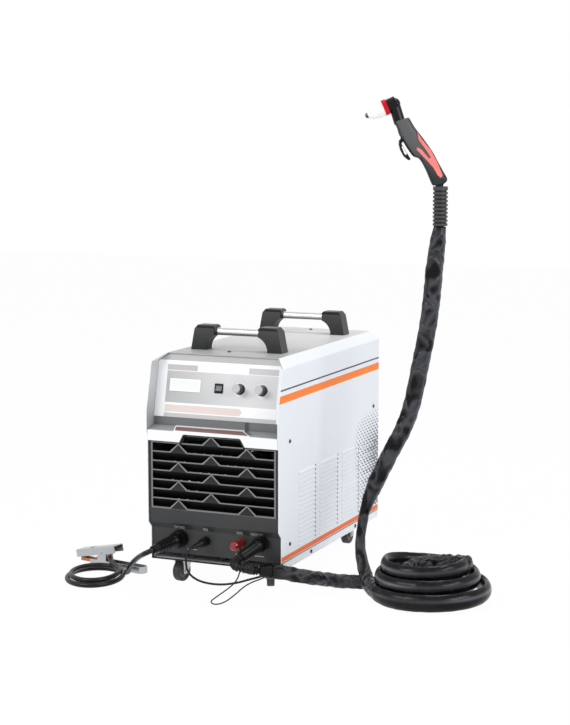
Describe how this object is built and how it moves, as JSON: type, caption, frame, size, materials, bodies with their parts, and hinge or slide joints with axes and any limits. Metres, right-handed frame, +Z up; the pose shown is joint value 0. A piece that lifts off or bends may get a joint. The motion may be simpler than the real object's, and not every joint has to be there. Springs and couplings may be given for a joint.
{
  "type": "plasma cutter unit",
  "caption": "Inverter plasma cutting unit on casters with hand torch in mid-air, coiled torch lead, work lead and clamp.",
  "frame": {"origin": "on the floor under the middle of the casing", "axes": "+Z up, the front with its controls faces -Y, +X is the right side seen from behind the unit's front"},
  "size_m": [1.0403, 0.7772, 1.1241],
  "materials": {
    "sheet_white": "powder coat, satin",
    "steel_dark": "black powder coat",
    "zinc_steel": "zinc plated",
    "black_plastic": "fine texture",
    "grey_plastic": "satin",
    "red_plastic": "gloss",
    "brass_fitting": "turned",
    "copper": "bare copper",
    "ceramic_white": "unglazed",
    "rubber_black": "cable jacket",
    "sleeve_leather": "smooth black sleeve",
    "aluminium_bare": "bare",
    "board_green": "circuit board",
    "wheel_grey": "tyre and hub"
  },
  "bodies": {
    "casing": {"cover": "sheet_white", "cover_screws": "steel_dark", "base_pan": "sheet_white", "rear_panel": "sheet_white", "front_fascia": "black_plastic", "front_grille": "black_plastic", "control_panel": "sheet_white", "panel_meter": "sheet_white", "rocker_housing": "black_plastic", "control_board": "board_green", "handle_posts": "black_plastic", "handle_bars": "aluminium_bare", "work_socket": "black_plastic", "control_socket": "black_plastic", "torch_socket": "black_plastic", "pilot_terminal": "brass_fitting", "work_plug": "grey_plastic", "control_plug": "black_plastic", "torch_connector": "grey_plastic", "corrugated_tube": "black_plastic", "sleeve_collar": "black_plastic", "torch_lead_sleeve": "sleeve_leather", "work_lead": "rubber_black", "switch_cable": "rubber_black", "pilot_wire": "rubber_black", "torch_handle_left": "grey_plastic", "torch_handle_right": "grey_plastic", "torch_head": "black_plastic", "retaining_ring": "red_plastic", "shield_cup": "ceramic_white", "nozzle": "copper", "torch_boot": "grey_plastic", "clamp_lower_arm": "zinc_steel", "clamp_pivot": "zinc_steel", "clamp_jaw": "copper", "clamp_spring": "zinc_steel", "caster_plates": "zinc_steel", "rear_brackets": "zinc_steel", "fan_frame": "black_plastic", "breaker_body": "black_plastic", "mains_gland": "black_plastic", "air_inlet": "brass_fitting", "solenoid_valve": "brass_fitting", "transformer": "zinc_steel", "heat_sinks": "aluminium_bare", "power_board": "board_green"},
    "rocker": {"rocker_button": "black_plastic"},
    "current_dial": {"current_knob": "black_plastic"},
    "gas_timer_dial": {"gas_timer_knob": "black_plastic"},
    "terminal_nut": {"pilot_terminal_knob": "red_plastic"},
    "torch_trigger": {"trigger": "black_plastic"},
    "clamp_upper": {"clamp_upper_arm": "zinc_steel"},
    "fan": {"fan_rotor": "black_plastic"},
    "toggle": {"breaker_toggle": "black_plastic"},
    "left_caster": {"front_left_fork": "zinc_steel"},
    "right_caster": {"front_right_fork": "zinc_steel"},
    "wheel_front_left": {"front_left_wheel": "wheel_grey"},
    "wheel_front_right": {"front_right_wheel": "wheel_grey"},
    "wheel_rear_left": {"rear_left_wheel": "wheel_grey"},
    "wheel_rear_right": {"rear_right_wheel": "wheel_grey"}
  },
  "joints": [
    {"name": "rocker_tilt", "type": "hinge", "parent": "casing", "child": "rocker", "pos_m": [-0.0035, -0.27219, 0.46394], "axis": [1, 0, 0], "range_deg": [0, 16]},
    {"name": "current_turn", "type": "hinge", "parent": "casing", "child": "current_dial", "pos_m": [0.0495, -0.28464, 0.4678], "axis": [0, -0.975, 0.2221], "range_deg": [-135, 135]},
    {"name": "gas_timer_turn", "type": "hinge", "parent": "casing", "child": "gas_timer_dial", "pos_m": [0.105, -0.28464, 0.4678], "axis": [0, -0.975, 0.2221], "range_deg": [-135, 135]},
    {"name": "terminal_turn", "type": "hinge", "parent": "casing", "child": "terminal_nut", "pos_m": [0.066, -0.325, 0.1195], "axis": [0, -1, 0], "range_deg": [0, 360]},
    {"name": "trigger_pull", "type": "hinge", "parent": "casing", "child": "torch_trigger", "pos_m": [0.37538, -0.10073, 1.034], "axis": [0.3952, -0.9186, 0], "range_deg": [0, 5], "stiffness_Nm_per_rad": 0.5},
    {"name": "clamp_open", "type": "hinge", "parent": "casing", "child": "clamp_upper", "pos_m": [-0.34345, -0.2067, 0.036], "axis": [0.1959, 0.9806, 0], "range_deg": [0, 12], "stiffness_Nm_per_rad": 3},
    {"name": "fan_spin", "type": "hinge", "parent": "casing", "child": "fan", "pos_m": [0, 0.293, 0.25], "axis": [0, 1, 0], "continuous": true},
    {"name": "breaker_throw", "type": "hinge", "parent": "casing", "child": "toggle", "pos_m": [-0.085, 0.3115, 0.43], "axis": [1, 0, 0], "range_deg": [0, 40]},
    {"name": "left_caster_swivel", "type": "hinge", "parent": "casing", "child": "left_caster", "pos_m": [-0.108, -0.237, 0.055], "axis": [0, 0, 1], "continuous": true},
    {"name": "right_caster_swivel", "type": "hinge", "parent": "casing", "child": "right_caster", "pos_m": [0.108, -0.237, 0.055], "axis": [0, 0, 1], "continuous": true},
    {"name": "front_left_roll", "type": "hinge", "parent": "left_caster", "child": "wheel_front_left", "pos_m": [-0.11147, -0.2567, 0.025], "axis": [0.9848, -0.1736, 0], "continuous": true},
    {"name": "front_right_roll", "type": "hinge", "parent": "right_caster", "child": "wheel_front_right", "pos_m": [0.10009, -0.21863, 0.025], "axis": [-0.9184, -0.3955, 0], "continuous": true},
    {"name": "rear_left_roll", "type": "hinge", "parent": "casing", "child": "wheel_rear_left", "pos_m": [-0.11, 0.245, 0.025], "axis": [1, 0, 0], "continuous": true},
    {"name": "rear_right_roll", "type": "hinge", "parent": "casing", "child": "wheel_rear_right", "pos_m": [0.11, 0.245, 0.025], "axis": [1, 0, 0], "continuous": true}
  ]
}
